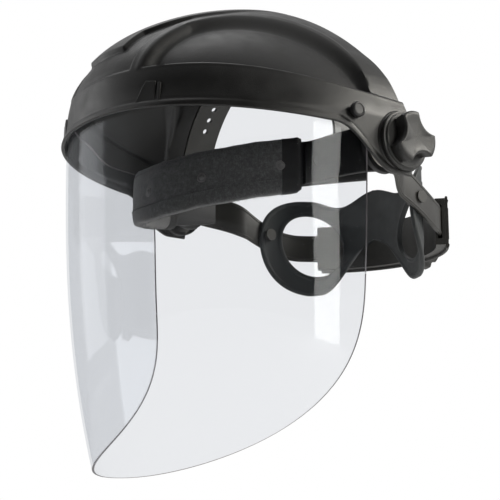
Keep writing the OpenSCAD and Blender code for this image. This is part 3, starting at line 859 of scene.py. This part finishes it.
def ratchet():
    back = (0, ARC_Y, RATCHET_Z)
    level = np.full(90, RATCHET_Z)
    cover = strap(arc_path(86.0, 48.0), 1.9, 36.0, level, 0.9)
    for side in (-1, 1):
        strap(arc_path(86.9, 46.5), 1.0, 1.6, level + side * 15.4, 0.5, cover)
    for deg in list(range(-44, -25, 3)) + list(range(26, 45, 3)):
        b = math.radians(deg)
        path = np.array([(87.0 * math.sin(b + f), ARC_Y + 87.0 * math.cos(b + f))
                         for f in (0.008, 0.003, -0.003, -0.008)])
        strap(path, 0.9, 22.0, np.full(4, RATCHET_Z), 0.4, cover)
    merged("ratchet_shell", cover, HOUSING, "harness", ["ratchet_cover"])

    def fluted(t, r):
        wave = 0.5 + 0.5 * np.cos(FLUTES * t)
        return r - 1.9 * ease(1 - wave * 1.5) * clip((r - 12) / 6)

    knob = turned([(91.0, 18.2), (91.25, 19.2), (92.0, 19.9), (100.2, 19.9), (101.4, 19.5), (102.2, 18.6),
                   (102.6, 17.4), (102.6, 16.2), (101.7, 15.6), (101.6, 11.0), (101.9, 6.0), (102.0, 0.3)],
                  back, (0, 1, 0), None, 288, True, fluted)
    merged("ratchet_wheel_grip", knob, KNOB, "ratchet_wheel", ["ratchet_knob"], 42)


ratchet()

# ---------------------------------------------------------------- carried-over nodes

FINISH = {
    "knob_insert_left": BRASS, "knob_insert_right": BRASS,
    "pivot_bolt_left": STEEL, "pivot_bolt_right": STEEL, "friction_washer_left": ACETAL,
    "friction_washer_right": ACETAL, "crown_strap_left": STRAP, "crown_strap_right": STRAP, "crown_pegs": BLACK,
    "crown_rivets": BLACK, "band_rivets": BLACK, "ratchet_housing": HOUSING, "ratchet_detent": STEEL,
    "ratchet_pinion": STEEL, "rack_left": STRAP, "rack_right": STRAP, "nape_posts": STRAP,
}
for node_name, finish in FINISH.items():
    node_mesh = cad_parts[node_name].data
    for slot_index in range(len(node_mesh.materials)):
        node_mesh.materials[slot_index] = finish

# ---------------------------------------------------------------- stage, lights and camera

# the shield hangs clear of the floor, as it does before the picture's plain ground
FLOOR_Z, FLOOR_R = cad_box[0][2] - 0.1, 2.5


def backdrop():
    turn = np.linspace(0, 2 * np.pi, 128, endpoint=False)
    mesh = bpy.data.meshes.new("studio_floor")
    mesh.from_pydata([(FLOOR_R * math.cos(t), FLOOR_R * math.sin(t), FLOOR_Z) for t in turn], [],
                     [tuple(range(len(turn)))])
    obj = bpy.data.objects.new("studio_floor", mesh)
    scene.collection.objects.link(obj)
    m = Nodes("studio_white")
    m.use("Base Color", m.ramp(m.noise(1.5, 2.0), [(0.3, (0.9, 0.9, 0.9)), (0.7, (0.92, 0.92, 0.92))]))
    m.set(Roughness=0.9, Specular_IOR_Level=0.1)
    mesh.materials.append(m.mat)


backdrop()


def lamp(name, place, target, size, power, size_y, colour=(1, 1, 1)):
    data = bpy.data.lights.new(name, "AREA")
    data.energy = power
    data.color = colour
    data.shape = "RECTANGLE"
    data.size = size
    data.size_y = size_y
    obj = bpy.data.objects.new(name, data)
    obj.location = place
    obj.rotation_euler = (Vector(target) - Vector(place)).to_track_quat("-Z", "Y").to_euler()
    scene.collection.objects.link(obj)
    return obj


HEART = (0, -0.02, -0.02)
lamp("top_softbox", (-0.6, 0.0, 1.35), HEART, 1.0, 3.5, 0.8)
lamp("front_softbox", (-1.5, -0.95, 0.4), HEART, 0.7, 4, 1.2)
lamp("back_softbox", (0.9, 1.4, 0.6), HEART, 0.9, 3, 0.9)
# a tall strip far to the wearer's left makes the bright streak in the sheet and lights the near side
side = lamp("side_softbox", (1.65, 0.36, 0.17), (0.1, -0.03, -0.03), 0.36, 9, 1.0, (1.0, 0.985, 0.93))
side.rotation_euler.rotate_axis("Z", math.radians(9))
lamp("key_softbox", (0.8, 0.72, 0.66), (0.12, 0.03, 0.02), 0.4, 9, 0.4, (1.0, 0.965, 0.88))


def sky():
    world = bpy.data.worlds.new("studio_light")
    scene.world = world
    world.use_nodes = True
    tree = world.node_tree
    tree.nodes.clear()
    out = tree.nodes.new("ShaderNodeOutputWorld")
    seen = tree.nodes.new("ShaderNodeBackground")
    lit = tree.nodes.new("ShaderNodeBackground")
    both = tree.nodes.new("ShaderNodeMixShader")
    ray = tree.nodes.new("ShaderNodeLightPath")
    seen.inputs["Color"].default_value = (1, 1, 1, 1)
    seen.inputs["Strength"].default_value = 1.0
    lit.inputs["Strength"].default_value = 0.5
    # the light is dark towards the wearer's left front and bright on every other side
    coord = tree.nodes.new("ShaderNodeTexCoord")
    facing = tree.nodes.new("ShaderNodeVectorMath")
    facing.operation = "DOT_PRODUCT"
    facing.inputs[1].default_value = (0.77, -0.60, -0.22)
    ramp = tree.nodes.new("ShaderNodeValToRGB")
    ramp.color_ramp.interpolation = "EASE"
    ramp.color_ramp.elements[0].position = 0.0
    ramp.color_ramp.elements[0].color = (1, 1, 1, 1)
    ramp.color_ramp.elements[1].position = 0.42
    ramp.color_ramp.elements[1].color = (0.03, 0.03, 0.032, 1)
    tree.links.new(coord.outputs["Generated"], facing.inputs[0])
    tree.links.new(facing.outputs["Value"], ramp.inputs[0])
    tree.links.new(ramp.outputs[0], lit.inputs["Color"])
    tree.links.new(ray.outputs["Is Camera Ray"], both.inputs[0])
    tree.links.new(lit.outputs[0], both.inputs[1])
    tree.links.new(seen.outputs[0], both.inputs[2])
    tree.links.new(both.outputs[0], out.inputs["Surface"])


sky()
scene.view_settings.view_transform = "Standard"

CAMERA_PLACE = (0.5771, -0.4726, -0.1922)
CAMERA_TARGET = (-0.0200, -0.0060, -0.0449)
camera_data = bpy.data.cameras.new("photo_view")
camera_data.sensor_width = 36.0
camera_data.lens = 82.2
camera_data.clip_start = 0.01
camera = bpy.data.objects.new("photo_view", camera_data)
camera.location = CAMERA_PLACE
camera.rotation_euler = (Vector(CAMERA_TARGET) - Vector(CAMERA_PLACE)).to_track_quat("-Z", "Y").to_euler()
scene.collection.objects.link(camera)
scene.camera = camera
